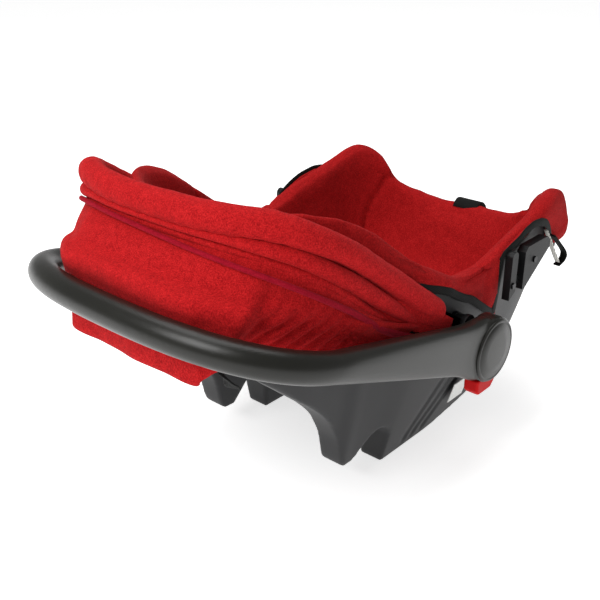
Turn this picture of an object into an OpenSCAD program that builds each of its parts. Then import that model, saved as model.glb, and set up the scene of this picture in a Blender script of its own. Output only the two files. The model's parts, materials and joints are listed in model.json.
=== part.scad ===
// Rear-facing infant car seat: moulded shell with two skirts, fold-back carry
// handle, folding canopy on three hoops, padded cover and harness.
// The head end points to -X, the foot end to +X, the child's left is +Y.
// Places along X are measured from the handle's hinge axis; at_origin() moves
// the whole seat so that its origin is at the middle of its footprint.

/* [Handle] */
// Distance from the origin to the handle's hinge axis, along X
hub_x = 60.9; // [60:0.1:62]
// Height of the handle's hinge axis above the floor
hub_z = 158; // [157:1:159]
// Angle of the folded handle above the horizontal
fold_angle = 17.75; // [17:0.25:19]
// Half of the handle's width, measured to the tube's centre
handle_half_w = 202; // [201:1:203]
// Reach of the handle from its hinge to the cross bar's centre
handle_reach = 410; // [406:1:414]
// Distance from the hinge to where the handle's corners begin
handle_corner = 281; // [275:1:290]
// Radius of the cross bar
bar_r = 16.5; // [15:0.5:17]
// Half height of the arm beside the hub
arm_half_h = 30; // [26:1:31]
// Half thickness of the arm beside the hub
arm_half_t = 11.5; // [11:0.5:11.5]
// Radius of the hub
hub_r = 41; // [39:1:42]
// Travel of each handle release button
button_travel = 5; // [3:0.5:5]

/* [Shell] */
// Wall thickness of the moulded shell
shell_t = 4; // [3:0.5:5]
// Width of each skirt where it meets the floor
skirt_w = 33; // [28:1:36]
// How far the side walls bow outwards
wall_bow = 4; // [3:1:4]
// Radius of the arch over the notch between the feet
notch_r = 20; // [16:1:21]

/* [Canopy] */
// Distance from the canopy's pivots to the top of its hoops
hoop_reach = 346; // [335:1:346]
// Distance from the pivots to where the hoops' corners begin
hoop_corner = 195; // [185:5:205]
// Height of a hoop's flat strip
hoop_h = 8; // [6:1:8]
// Thickness of a hoop's flat strip
hoop_t = 2.4; // [2:0.1:2.4]
// Radius of the padded fabric around a hoop
roll_r = 10; // [9:1:12]
// Angle of the front hoop above the horizontal, folded
front_angle = 33.3; // [33:0.1:34]
// Angle between neighbouring hoops, folded
hoop_step = 5.2; // [5:0.1:5.5]

/* [Soft parts] */
// Thickness of the foam liner in the bowl
liner_t = 9; // [6:1:9]
// Thickness of the seat cover in the bowl
cover_t = 7; // [5:1:8]
// How far the cover's padded lobes stand out at the foot end
lobe_out = 24; // [15:1:26]
// Width of the harness webbing
web_w = 36; // [32:1:38]
// Thickness of the harness webbing
web_t = 2; // [1.5:0.5:2]

/* [Hidden] */
$fn = 48;
eps = 0.5;
canopy_x = -20;
canopy_z = 190;
canopy_end_y = [178, 175, 172];
spine_foot = 150;
spine_head = -250;
cover_gap = 2;
cover_low = cover_gap + liner_t;
cover_top = cover_low + cover_t;
notch_mid = [-107, 43];
pin_r = 8;
running_gap = 0.05;
hub_in = 187;
hub_out = 211;
cap_t = 4;
boss_in = 152;
boss_r = 22;
gear_teeth = 12;
recess_r = 30;
button_mid = -7;
button_w = 40;
button_top = 125;
pocket_top = button_top + button_travel + 1;
knob_r = 5;
charcoal = [0.17, 0.17, 0.18];
black = [0.06, 0.06, 0.07];
red = [0.72, 0.07, 0.09];
dark_red = [0.55, 0.05, 0.07];
steel = [0.7, 0.7, 0.72];
sides = [-1, 1];

// Half of the shell's rim, from the foot end's middle to the head end's middle
RIM = [[268, 0, 216], [260, 58, 218], [245, 108, 232], [240, 140, 256], [216, 163, 277],
    [172, 172, 276], [126, 174, 262], [78, 175, 249], [28, 173, 240], [-25, 170, 240],
    [-62, 167, 254], [-106, 161, 284], [-136, 156, 303], [-158, 152, 319], [-180, 147, 332],
    [-208, 140, 344], [-240, 127, 353], [-272, 98, 360], [-295, 53, 362], [-302, 0, 362]];
// The shell's lower outer edge, one point under each point of the rim
EDGE = [[240, 0, 160], [238, 50, 158], [232, 92, 135], [222, 112, 92], [196, 116, 50],
    [150, 116, 22], [105, 115, 11], [60, 115, 5], [10, 115, 0], [-40, 115, 0],
    [-87, 115, 0], [-120, 115, 16], [-148, 116, 32], [-166, 117, 37], [-178, 118, 82],
    [-205, 121, 124], [-258, 122, 172], [-318, 116, 222], [-346, 70, 244], [-352, 0, 248]];
// Height of the bowl's floor along its middle: [x, z]
FLOOR = [[-330, 262], [-300, 235], [-225, 166], [-150, 104], [-60, 74], [60, 68], [120, 80],
    [190, 118], [235, 166], [270, 210]];
// The bowl from its spine to its rim: [share of the way out, share of the way up,
// how far an inward offset moves sideways, how far it moves up]
BOWL = [[0.12, 0, 0, 1], [0.45, 0, 0, 1], [0.66, 0.07, 0.3, 0.95], [0.82, 0.27, 0.7, 0.7],
    [0.92, 0.55, 0.95, 0.3], [0.98, 0.85, 1, 0.1], [1, 1, 1, 0]];
// Steps between two neighbouring points of RIM
rim_steps = 2;

// ---- Curves and lofts ----

// A point of the smooth curve between b and c
function between(a, b, c, d, t) =
    0.5 * (2 * b + (c - a) * t + (2 * a - 5 * b + 4 * c - d) * t * t + (3 * b - a - 3 * c + d) * t * t * t);

// A smooth curve through the points p
function smooth(p, steps) = [
    for (i = [0:len(p) - 2]) for (k = [0:steps - 1])
        between(p[max(i - 1, 0)], p[i], p[i + 1], p[min(i + 2, len(p) - 1)], k / steps),
    p[len(p) - 1]];

// A closed ring from a half ring whose two ends lie on the seat's middle plane
function full_ring(half) = concat(half,
    [for (i = [len(half) - 2:-1:1]) [half[i].x, -half[i].y, half[i].z]]);

function mix(a, b, t) = a + (b - a) * t;
function flat_unit(v) = [v.x, v.y, 0] / norm([v.x, v.y]);
function up(z) = [0, 0, z];
function floor_z(x) = lookup(x, FLOOR);

rim = full_ring(smooth(RIM, rim_steps));
edge = [for (p = full_ring(smooth(EDGE, rim_steps))) [p.x, p.y, max(0, p.z)]];
ring_n = len(rim);
half_n = ring_n / 2;
function spine(j) = [max(spine_head, min(spine_foot, rim[j].x)), 0, 0];
function outward(j) = flat_unit(rim[j] - spine(j));

// How strongly a place on the ring belongs to a foot-end lobe, from 0 to 1
function lobe(j) = exp(-pow((min(j, ring_n - j) / rim_steps - 3) / 1.15, 2));

// A point of the bowl's surface, moved inwards by off
function bowl_point(j, row, off) = let (
        p = rim[j] - outward(j) * shell_t / 2,
        s = spine(j),
        x = mix(s.x, p.x, row[0]),
        y = mix(s.y, p.y, row[0]),
        z = mix(floor_z(x), p.z, row[1]))
    [x, y, z] + off * (row[3] * up(1) - row[2] * outward(j));

// A point of the side wall, share s of the way up, moved outwards by off
function wall_point(j, s, off) =
    mix(edge[j], rim[j] + outward(j) * shell_t / 2, s) + outward(j) * (wall_bow * sin(180 * s) + off);

function bowl_ring(row, off) = [for (j = [0:ring_n - 1]) bowl_point(j, row, off)];
function wall_ring(s, off) = [for (j = [0:ring_n - 1]) wall_point(j, s, off)];
function rim_ring(off, rise) = [for (j = [0:ring_n - 1]) rim[j] + outward(j) * off + up(rise)];

// The cover is half as thick around the rim where the canopy's hoops and rolls pass
function lap(j) = lookup(min(j, ring_n - j) / rim_steps, [[7, 1], [9, 0.5]]);
function crest_ring(off, rise, lobe_off = 0) =
    [for (j = [0:ring_n - 1]) rim[j] + outward(j) * (off + lobe_off * lobe(j)) + up(rise * lap(j))];
function lap_ring(s, off, lobe_off = 0) =
    [for (j = [0:ring_n - 1]) wall_point(j, s, off * lap(j) + lobe_off * lobe(j))];

// Triangles that close a symmetric ring of n points starting at index a
function ladder(a, n) = [
    for (j = [0:n / 2 - 1]) let (
            p = a + j, q = a + j + 1, r = a + (n - j - 1) % n, s = a + (n - j) % n)
        each (j == 0 ? [[p, q, r]] : j == n / 2 - 1 ? [[p, q, s]] : [[p, q, r], [p, r, s]])];

function turned(faces, flip) = flip ? [for (f = faces) [f[2], f[1], f[0]]] : faces;

// A closed solid through a list of symmetric rings
module ring_loft(rings) {
    n = len(rings[0]);
    last = len(rings) - 1;
    walls = [for (i = [0:last - 1]) for (j = [0:n - 1]) let (
            a = i * n + j, b = i * n + (j + 1) % n, c = a + n, d = b + n)
        each [[a, c, b], [b, c, d]]];
    polyhedron(
        points = [for (r = rings) each r],
        faces = concat(walls, turned(ladder(0, n), false), turned(ladder(last * n, n), true)));
}

// A closed solid through sections of equal, even length: a swept tube
module tube_loft(sections) {
    n = len(sections[0]);
    last = len(sections) - 1;
    walls = [for (i = [0:last - 1]) for (j = [0:n - 1]) let (
            a = i * n + j, b = i * n + (j + 1) % n, c = a + n, d = b + n)
        each [[a, b, c], [b, d, c]]];
    cap = [for (j = [0:n / 2 - 2]) each [[j, n - 2 - j, j + 1], [j, n - 1 - j, n - 2 - j]]];
    caps = concat(cap, [for (f = cap) [f[2], f[1], f[0]] + last * n * [1, 1, 1]]);
    polyhedron(points = [for (s = sections) each s], faces = concat(walls, caps));
}

// ---- U-shaped bows for the handle and the hoops, in the plane (along, across) ----

// Centre line of a bow: [along, across], from the right side to the left side
function bow_line(start, corner, reach, half_w, power, arm_steps, turn_steps) = let (
        arm = [for (i = [0:arm_steps - 1]) [mix(start, corner, i / arm_steps), -half_w]],
        turn = [for (i = [0:turn_steps]) let (a = 90 * i / turn_steps)
            [corner + (reach - corner) * pow(sin(a), 2 / power), -half_w * pow(cos(a), 2 / power)]],
        half = concat(arm, turn))
    concat(half, [for (i = [len(half) - 2:-1:0]) [half[i].x, -half[i].y]]);

function bow_normal(line, i) = let (
        d = line[min(i + 1, len(line) - 1)] - line[max(i - 1, 0)], u = d / norm(d))
    [-u.y, u.x];

// A bow's point in space: hinge at (hx, hz), raised by angle towards -X
function bow_point(along, across, rise, hx, hz, angle) = [
    hx - along * cos(angle) + rise * sin(angle),
    across,
    hz + along * sin(angle) + rise * cos(angle)];

function signed_power(v, p) = sign(v) * pow(abs(v), p);

// ---- Frame ----

module at_origin() {
    translate([hub_x, 0, 0]) children();
}

// Draws its children for one side: side is -1 on the right and 1 on the left
module on_side(side) {
    at_origin() mirror([0, side < 0 ? 1 : 0, 0]) children();
}

// A bar across the seat, from y1 to y2, whose XZ outline is its child
module across(y1, y2) {
    translate([0, y2, 0]) rotate([90, 0, 0]) linear_extrude(y2 - y1) children();
}

// A cylinder along Y from y1 to y2
module disc(x, z, r, y1, y2) {
    translate([x, y1, z]) rotate([-90, 0, 0]) cylinder(r = r, h = y2 - y1);
}

// ---- Shell ----

function skirt_ring(rise) = [for (j = [0:ring_n - 1]) let (
        p = edge[j] - outward(j) * skirt_w,
        roof = floor_z(p.x) - shell_t - 1)
    [p.x, p.y, rise ? roof : min(edge[j].z, roof - 1)]];

module notch_outline() {
    tangent = notch_mid + notch_r * [-sin(45), cos(45)];
    low = -10;
    translate(notch_mid) circle(r = notch_r);
    polygon([[tangent.x - tangent.y + low, low], [notch_mid.x + notch_r, low],
        [notch_mid.x + notch_r, notch_mid.y], notch_mid, tangent]);
}

module shell() {
    at_origin() color(charcoal) difference() {
        ring_loft(concat(
            [for (row = BOWL) bowl_ring(row, 0)],
            [rim_ring(shell_t / 2, 0)],
            [for (s = [0.88, 0.7, 0.5, 0.3, 0.12]) wall_ring(s, 0)],
            [edge, skirt_ring(false), skirt_ring(true),
                bowl_ring([0.3, 0, 0, 1], -shell_t - 1), bowl_ring(BOWL[0], -shell_t - 1)]));
        for (side = sides)
            mirror([0, side < 0 ? 1 : 0, 0]) across(70, 150) notch_outline();
    }
}

module pivot_boss() {
    color(charcoal) difference() {
        disc(0, hub_z, boss_r, boss_in, hub_in - 0.5);
        disc(0, hub_z, pin_r, boss_in - 1, hub_in);
    }
}

module pivot_pin() {
    color(steel) disc(0, hub_z, pin_r, boss_in + 8, hub_out - 1);
}

module lock_gear() {
    root_r = 20;
    tooth_w = 5;
    color(steel) difference() {
        union() {
            disc(0, hub_z, root_r, hub_in - 0.5, hub_in + 8);
            for (i = [0:gear_teeth - 1])
                translate([0, hub_in - 0.5, hub_z]) rotate([0, i * 360 / gear_teeth, 0])
                    translate([root_r - 2, 0, -tooth_w / 2]) cube([7, 8.5, tooth_w]);
        }
        disc(0, hub_z, pin_r, hub_in - 2, hub_in + 10);
    }
}

// ---- Belt guides ----

guide_in = 183;
guide_out = 195;

module belt_guide() {
    color(black) difference() {
        union() {
            across(guide_in, guide_out - 2) {
                translate([66, 251]) circle(r = 7);
                polygon([[59, 196], [73, 204], [73, 251], [59, 251]]);
            }
            across(guide_in, guide_out)
                polygon([[87, 203], [93, 203], [150, 242], [150, 252], [142, 258], [93, 258], [87, 252]]);
            across(guide_in, guide_in + 5) polygon([[71, 203], [89, 211], [89, 223], [71, 213]]);
        }
        for (p = [[66, 214], [112, 236]]) disc(p.x, p.y, 2, guide_in - 1, guide_out + 1);
    }
}

module belt_guide_screws() {
    at_origin() color(steel) for (side = sides)
        mirror([0, side < 0 ? 1 : 0, 0]) {
            disc(66, 214, 4, guide_out - 1.9, guide_out);
            disc(112, 236, 4, guide_out + 0.1, guide_out + 2);
        }
}

// ---- Soft parts in the bowl ----

module foam_liner() {
    rows = [for (i = [0:len(BOWL) - 2]) BOWL[i]];
    at_origin() color("white") ring_loft(concat(
        [for (row = rows) bowl_ring(row, cover_gap - 1 + liner_t)],
        [for (i = [len(rows) - 1:-1:0]) bowl_ring(rows[i], cover_gap - 1)]));
}

module seat_cover() {
    rows = [for (i = [0:len(BOWL) - 2]) BOWL[i]];
    pad = shell_t / 2 + 2;
    at_origin() color(red) difference() {
        ring_loft(concat(
            [for (row = rows) bowl_ring(row, cover_top)],
            [crest_ring(-cover_top + 2, 6), crest_ring(-4, 12), crest_ring(5, 10, lobe_out * 0.5),
                lap_ring(0.97, 6, lobe_out), lap_ring(0.88, 5, lobe_out * 1.2),
                wall_ring(0.86, 1.5), wall_ring(0.97, 2), rim_ring(pad, 2), rim_ring(-pad, 2)],
            [for (i = [len(rows) - 1:-1:0]) bowl_ring(rows[i], cover_low)]));
        for (side = sides)
            mirror([0, side < 0 ? 1 : 0, 0]) translate([34, guide_in - 2, 150]) cube([120, 40, 124]);
    }
}

// Outline of a band that lies on the seat's middle floor, from x1 to x2
module floor_band(x1, x2, lift, thick) {
    xs = concat([x1], [for (p = FLOOR) if (p.x > x1 && p.x < x2) p.x], [x2]);
    polygon(concat(
        [for (x = xs) [x, floor_z(x) + lift]],
        [for (i = [len(xs) - 1:-1:0]) [xs[i], floor_z(xs[i]) + lift + thick]]));
}

strap_lift = cover_top + 1.5;
strap_y = 46;

module harness_strap() {
    color(black) {
        across(strap_y - web_w / 2, strap_y + web_w / 2) floor_band(-196, -14, strap_lift, web_t);
        across(strap_y - web_w / 2, strap_y + web_w / 2)
            polygon([[-196, floor_z(-196) + strap_lift + web_t], [-202, floor_z(-196) + strap_lift - 4],
                [-199, floor_z(-196) + strap_lift - 6], [-193, floor_z(-196) + strap_lift]]);
    }
}

module shoulder_pad() {
    half = 27;
    color(dark_red) across(strap_y - half, strap_y + half)
        floor_band(-178, -70, strap_lift + web_t + eps, 9);
}

module crotch_strap() {
    at_origin() color(black) across(-web_w / 2 + 4, web_w / 2 - 4) floor_band(52, 104, strap_lift, web_t);
}

module crotch_pad() {
    at_origin() color(dark_red) across(-27, 27) floor_band(54, 108, strap_lift + web_t + eps, 8);
}

buckle_z = floor_z(30) + strap_lift + 1;
module buckle_body() {
    at_origin() color(black) difference() {
        translate([6, -24, buckle_z]) cube([44, 48, 18]);
        translate([14, -13, buckle_z + 8]) cube([20, 26, 12]);
    }
}

module buckle_button() {
    at_origin() color("red") translate([14.5, -12.5, buckle_z + 12]) cube([19, 25, 8]);
}

module buckle_tongue() {
    color(steel) across(6, 40) translate([-14, buckle_z + 1]) square([19.5, 4]);
}

// ---- Harness adjuster at the foot end ----

adjuster_at = [140, 0, floor_z(140) + cover_top + 6];
adjuster_tilt = -28.5;
module at_adjuster() {
    at_origin() translate(adjuster_at) rotate([0, adjuster_tilt, 0]) children();
}

module adjuster_housing() {
    at_adjuster() color(black) difference() {
        translate([-22, -20, 0]) cube([44, 40, 16]);
        translate([-19, -16, 4]) cube([38, 32, 13]);
        rotate([90, 0, 0]) translate([-12, 10, -30]) cylinder(r = 2.05, h = 60);
    }
}

module adjuster_pin() {
    at_adjuster() color(steel) rotate([90, 0, 0]) translate([-12, 10, -20]) cylinder(r = 2, h = 40);
}

module adjuster_lever() {
    at_adjuster() color(charcoal) difference() {
        union() {
            rotate([90, 0, 0]) translate([-12, 10, -15]) cylinder(r = 4.5, h = 30);
            translate([-12, -15, 10]) cube([28, 30, 4.5]);
        }
        rotate([90, 0, 0]) translate([-12, 10, -20]) cylinder(r = 2 + running_gap, h = 40);
    }
}

module adjuster_strap() {
    line = smooth([[196, 146], [220, 172], [238, 199], [252, 224], [264, 231], [276, 228], [283, 216],
        [284, 197]], 2);
    at_origin() color(black) across(-19, 19) polygon(concat(
        line, [for (i = [len(line) - 1:-1:0]) line[i] + web_t * bow_normal(line, i)]));
}

module label_plate() {
    lean = 16;
    at_origin() color("white") translate([38, -131.5, 36]) rotate([lean, 0, 0]) cube([34, 1, 32]);
}

module cover_tie() {
    at_origin() color(black) across(-181, -178) polygon([[200, 234], [211, 240], [252, 194], [242, 185]]);
}

module canopy_tie() {
    at_origin() color(black) translate([-350, -112, 218]) cube([20, 3, 20]);
}

// ---- Canopy ----

module canopy_boss() {
    color(black) disc(canopy_x, canopy_z, 12, 162, canopy_end_y[2] - 2);
}

module canopy_knob() {
    color(black) {
        disc(canopy_x, canopy_z, knob_r, canopy_end_y[2] - 2, canopy_end_y[0] + 2.5);
        disc(canopy_x, canopy_z, 13, canopy_end_y[0] + 2.5, canopy_end_y[0] + 8);
    }
}

// Radius of a fabric roll along a hoop: neighbouring rolls share the space between them
function roll_at(along, full) = min(full, along * sin(hoop_step) / 2 - 0.4);
function hoop_angle(index) = front_angle - index * hoop_step;

// A tube along a hoop, whose section is a list of [in the hoop's plane, across it]
module hoop_sweep(index, start, section) {
    line = bow_line(start, hoop_corner, hoop_reach, canopy_end_y[index], 2.6, 4, 11);
    tube_loft([for (i = [0:len(line) - 1]) let (n = bow_normal(line, i))
        [for (c = section) let (
                size = is_undef(c[2]) ? 1 : roll_at(line[i].x, c[2]),
                q = line[i] + n * c[0] * size)
            bow_point(q.x, q.y, c[1] * size, canopy_x, canopy_z, hoop_angle(index))]]);
}

module hoop(index) {
    t = hoop_t / 2;
    h = hoop_h / 2;
    at_origin() color(black) hoop_sweep(index, 8, [[t, -h], [t, h], [-t, h], [-t, -h]]);
}

module hoop_eyes(index) {
    y = canopy_end_y[index];
    at_origin() color(black) for (side = sides) mirror([0, side < 0 ? 1 : 0, 0]) difference() {
        disc(canopy_x, canopy_z, 11, y - 1.3, y + 1.3);
        disc(canopy_x, canopy_z, knob_r + running_gap, y - 3, y + 3);
    }
}

module fabric_roll(index, radius) {
    corners = 10;
    at_origin() color(red) hoop_sweep(index, 110,
        [for (k = [0:corners - 1]) [cos(360 * k / corners), sin(360 * k / corners), radius]]);
}

// The canopy's back: one curved wall around the shell's head end, from one pivot to
// the other. It stays inside the circle that the folded handle's bar sweeps.
// Half of its outline in plan, from the side to the head end's middle
WRAP = [[-92, 173], [-150, 172], [-215, 169], [-274, 159], [-324, 138], [-360, 98], [-371, 50],
    [-374, 0]];
wrap_t = 5;
wrap_clear = 384;
wrap_level_x = -335;
wrap_lean = 0.94;
function wrap_low(x) = x > -300 ? hub_z - x * tan(fold_angle) + 8 : lookup(x, [[-350, 222], [-300, 262]]);
function wrap_high(x) =
    canopy_z + (canopy_x - max(wrap_lean * x, wrap_level_x)) * tan(hoop_angle(2)) - roll_r - 4;
function wrap_point(p, z, inset) =
    [p.x * min(1, sqrt(pow(wrap_clear, 2) - pow(z - hub_z, 2)) / 378), p.y, z] - inset * flat_unit(p + [60, 0]);
module canopy_back() {
    half = smooth(WRAP, 2);
    line = concat(half, [for (i = [len(half) - 2:-1:0]) [half[i].x, -half[i].y]]);
    rows = 3;
    at_origin() color(red) tube_loft([for (p = line) concat(
        [for (k = [0:rows]) wrap_point(p, mix(wrap_low(p.x), wrap_high(p.x), k / rows), 0)],
        [for (k = [rows:-1:0]) wrap_point(p, mix(wrap_low(p.x), wrap_high(p.x), k / rows), wrap_t)])]);
}

// ---- Handle ----

function arm_share(along) = min(1, max(0, (along - 60) / 240));

module handle_sweep(first, last, steps) {
    line = bow_line(32, handle_corner, handle_reach, handle_half_w - 3, 2.65, 7, 14);
    tube_loft([for (i = [0:len(line) - 1]) let (
            n = bow_normal(line, i),
            share = arm_share(line[i].x),
            half_t = mix(arm_half_t, bar_r, share),
            half_h = mix(arm_half_h, bar_r, share),
            power = mix(4, 2, share))
        [for (k = [0:steps]) let (
                a = mix(first, last, k / steps),
                q = line[i] + n * half_t * signed_power(cos(a), 2 / power))
            bow_point(q.x, q.y, half_h * signed_power(sin(a), 2 / power), 0, hub_z, fold_angle)]]);
}

module handle_upper_shell() {
    at_origin() color(charcoal) handle_sweep(-30, 210, 15);
}

module handle_lower_shell() {
    at_origin() color(charcoal) handle_sweep(210, 330, 7);
}

module handle_hub() {
    color(charcoal) difference() {
        disc(0, hub_z, hub_r, hub_in, hub_out);
        disc(0, hub_z, pin_r + running_gap, hub_in - 1, hub_out + 1);
        disc(0, hub_z, recess_r, hub_in - 1, hub_in + 10);
        translate([button_mid - button_w / 2 - eps, hub_in + 1.5, 100])
            cube([button_w + 2 * eps, hub_out - hub_in - 3, pocket_top - 100]);
    }
}

module hub_cap() {
    color(charcoal) translate([0, hub_out, hub_z]) rotate([-90, 0, 0]) rotate_extrude()
        polygon([[0, 0], [hub_r - 2, 0], [hub_r - 2, 1], [hub_r - 5, cap_t - 1], [20, cap_t], [0, cap_t]]);
}

module release_button() {
    color("red") across(hub_in + 2, hub_out - 2)
        polygon([[button_mid - button_w / 2, button_top], [button_mid - button_w / 2, 110],
            [button_mid - button_w / 2 + 5, 104], [button_mid + button_w / 2 - 8, 104],
            [button_mid + button_w / 2, 112], [button_mid + button_w / 2, button_top]]);
}

module release_spring() {
    color(steel) translate([button_mid, (hub_in + hub_out) / 2, button_top]) difference() {
        cylinder(r = 4, h = pocket_top - button_top);
        translate([0, 0, -1]) cylinder(r = 3, h = pocket_top - button_top + 2);
    }
}

shell();
on_side(1) pivot_boss();  // pivot_boss_left
on_side(-1) pivot_boss();  // pivot_boss_right
on_side(1) pivot_pin();  // pivot_pin_left
on_side(-1) pivot_pin();  // pivot_pin_right
on_side(1) lock_gear();  // lock_gear_left
on_side(-1) lock_gear();  // lock_gear_right
on_side(1) belt_guide();  // belt_guide_left
on_side(-1) belt_guide();  // belt_guide_right
belt_guide_screws();
foam_liner();
seat_cover();
on_side(1) harness_strap();  // harness_strap_left
on_side(-1) harness_strap();  // harness_strap_right
on_side(1) shoulder_pad();  // shoulder_pad_left
on_side(-1) shoulder_pad();  // shoulder_pad_right
crotch_strap();
crotch_pad();
buckle_body();
buckle_button();
on_side(1) buckle_tongue();  // buckle_tongue_left
on_side(-1) buckle_tongue();  // buckle_tongue_right
adjuster_housing();
adjuster_lever();
adjuster_pin();
adjuster_strap();
label_plate();
on_side(1) canopy_boss();  // canopy_boss_left
on_side(-1) canopy_boss();  // canopy_boss_right
on_side(1) canopy_knob();  // canopy_knob_left
on_side(-1) canopy_knob();  // canopy_knob_right
canopy_back();
canopy_tie();
cover_tie();
hoop(2);  // hoop_rear
hoop_eyes(2);  // hoop_rear_eyes
fabric_roll(2, roll_r - 3);  // canopy_rear_fold
hoop(1);  // hoop_mid
hoop_eyes(1);  // hoop_mid_eyes
fabric_roll(1, roll_r - 2);  // canopy_mid_fold
hoop(0);  // hoop_front
hoop_eyes(0);  // hoop_front_eyes
fabric_roll(0, roll_r);  // canopy_front_roll
handle_upper_shell();
handle_lower_shell();
on_side(1) handle_hub();  // handle_hub_left
on_side(-1) handle_hub();  // handle_hub_right
on_side(1) hub_cap();  // hub_cap_left
on_side(-1) hub_cap();  // hub_cap_right
on_side(1) release_button();  // release_button_left
on_side(-1) release_button();  // release_button_right
on_side(1) release_spring();  // release_spring_left
on_side(-1) release_spring();  // release_spring_right
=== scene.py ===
import json
import math

import bmesh
import bpy
import numpy as np
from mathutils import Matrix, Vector


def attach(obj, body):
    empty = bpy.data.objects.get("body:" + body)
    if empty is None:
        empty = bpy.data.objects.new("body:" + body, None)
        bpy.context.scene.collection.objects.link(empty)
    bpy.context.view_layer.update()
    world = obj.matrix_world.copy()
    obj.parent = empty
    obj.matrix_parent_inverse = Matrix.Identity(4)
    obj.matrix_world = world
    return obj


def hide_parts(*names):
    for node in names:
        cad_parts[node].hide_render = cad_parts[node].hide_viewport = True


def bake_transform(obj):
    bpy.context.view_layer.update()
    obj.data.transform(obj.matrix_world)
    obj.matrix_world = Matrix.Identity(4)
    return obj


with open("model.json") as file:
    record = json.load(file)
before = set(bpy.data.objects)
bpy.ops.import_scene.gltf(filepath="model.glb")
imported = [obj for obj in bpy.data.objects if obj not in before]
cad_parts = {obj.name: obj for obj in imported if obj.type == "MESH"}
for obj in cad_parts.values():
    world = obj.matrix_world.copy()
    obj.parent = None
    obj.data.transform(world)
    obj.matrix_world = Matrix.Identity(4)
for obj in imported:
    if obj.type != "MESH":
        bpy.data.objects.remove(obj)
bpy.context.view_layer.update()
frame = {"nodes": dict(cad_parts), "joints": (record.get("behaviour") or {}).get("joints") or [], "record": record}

# Shapes are worked out in millimetres, with x measured from the handle's hinge axis,
# y from the middle and z from the floor. row() turns them into metres in the frame.
joints = {j["name"]: j for j in frame["joints"]}
HUB = Vector(joints["handle_hinge"]["pos_m"])
PIVOT = Vector(joints["canopy_rear_hinge"]["pos_m"])
HUB_Z = HUB.z * 1000
PIVOT_X = (PIVOT.x - HUB.x) * 1000
PIVOT_Z = PIVOT.z * 1000
SIDES = {"left": 1, "right": -1}


def row(points):
    return np.asarray(points, float) * 0.001 + [HUB.x, 0, 0]


# ---- Curves ----


def smooth(points, steps):
    """A Catmull-Rom curve through points, with that many steps between neighbours."""
    p = np.asarray(points, float)
    p = np.concatenate([p[:1], p, p[-1:]])
    out = []
    for i in range(1, len(p) - 2):
        a, b, c, d = p[i - 1 : i + 3]
        for t in np.arange(steps) / steps:
            bend = (2 * a - 5 * b + 4 * c - d) * t**2 + (3 * b - a - 3 * c + d) * t**3
            out.append(0.5 * (2 * b + (c - a) * t + bend))
    return np.array(out + [p[-2]])


def evenly(points, count):
    """count points spaced evenly along a line."""
    p = np.asarray(points, float)
    along = np.concatenate([[0], np.cumsum(np.linalg.norm(np.diff(p, axis=0), axis=1))])
    return np.stack([np.interp(np.linspace(0, along[-1], count), along, c) for c in p.T], -1)


def unit(v):
    return v / np.maximum(np.linalg.norm(v, axis=-1, keepdims=True), 1e-9)


def waves(points, size, seed, count=9):
    """Smooth, seeded variation from about -1 to 1, with bumps of about size."""
    rng = np.random.default_rng(seed)
    way = unit(rng.normal(size=(count, 3))) * rng.uniform(0.6, 1.5, (count, 1)) * 2 * math.pi / size
    phase = rng.uniform(0, 2 * math.pi, count)
    return np.sin(np.asarray(points) @ way.T + phase).sum(-1) / math.sqrt(count) * 0.7


def bell(x, width):
    return np.exp(-((x / width) ** 2))


def circle(count):
    """The angles of count points spaced evenly round a circle."""
    return np.radians(np.arange(count) * 360 / count)


def squared(values, power):
    """Signed values raised to a power. Powers under 1 make a circle squarer."""
    return np.sign(values) * np.abs(values) ** power


def puckers(run, pitch):
    """The ripple of a gathered seam, unevenly spaced along its run."""
    return np.sin(run * 2 * math.pi / pitch + 1.5 * np.sin(run / 37))


# ---- Meshes ----


def linked(name, data):
    """A new object in the scene."""
    obj = bpy.data.objects.new(name, data)
    bpy.context.scene.collection.objects.link(obj)
    return obj


def mesh(name, points, faces, material):
    data = bpy.data.meshes.new(name)
    data.from_pydata(row(points).tolist(), [], [tuple(map(int, f)) for f in faces])
    obj = linked(name, data)
    data.materials.append(material)
    face_outwards(obj)
    return obj


def face_outwards(obj):
    edit = bmesh.new()
    edit.from_mesh(obj.data)
    bmesh.ops.recalc_face_normals(edit, faces=edit.faces)
    edit.to_mesh(obj.data)
    edit.free()
    obj.data.shade_smooth()


def grid_faces(rows, cols, closed):
    return [
        (i * cols + j, i * cols + (j + 1) % cols, (i + 1) * cols + (j + 1) % cols, (i + 1) * cols + j)
        for i in range(rows - 1)
        for j in range(cols if closed else cols - 1)
    ]


def tube(name, sections, material):
    """A closed solid through sections, each a ring of the same number of points."""
    s = np.asarray(sections, float)
    rows, cols = s.shape[:2]
    ends = [list(range(cols)), [(rows - 1) * cols + k for k in range(cols)]]
    return mesh(name, s.reshape(-1, 3), grid_faces(rows, cols, True) + ends, material)


def ladder(first, n):
    """Faces that close a ring of n points whose halves mirror each other."""
    half = n // 2
    steps = [[first + j, first + j + 1, first + n - j - 1, first + (n - j) % n] for j in range(half)]
    return [list(dict.fromkeys(f)) for f in steps]


def ring_solid(name, rings, material):
    """A closed solid through rings round the seat, closed across its first and last ring."""
    s = np.asarray(rings, float)
    rows, n = s.shape[:2]
    faces = grid_faces(rows, n, True) + ladder(0, n) + ladder((rows - 1) * n, n)
    return mesh(name, s.reshape(-1, 3), faces, material)


def applied(obj, kind, **settings):
    """Adds a modifier and makes its result the object's own mesh."""
    modifier = obj.modifiers.new(kind.lower(), kind)
    for key, value in settings.items():
        setattr(modifier, key, value)
    graph = bpy.context.evaluated_depsgraph_get()
    made = bpy.data.meshes.new_from_object(obj.evaluated_get(graph))
    obj.modifiers.clear()
    old = obj.data
    obj.data = made
    bpy.data.meshes.remove(old)
    made.shade_smooth()
    return obj


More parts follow.
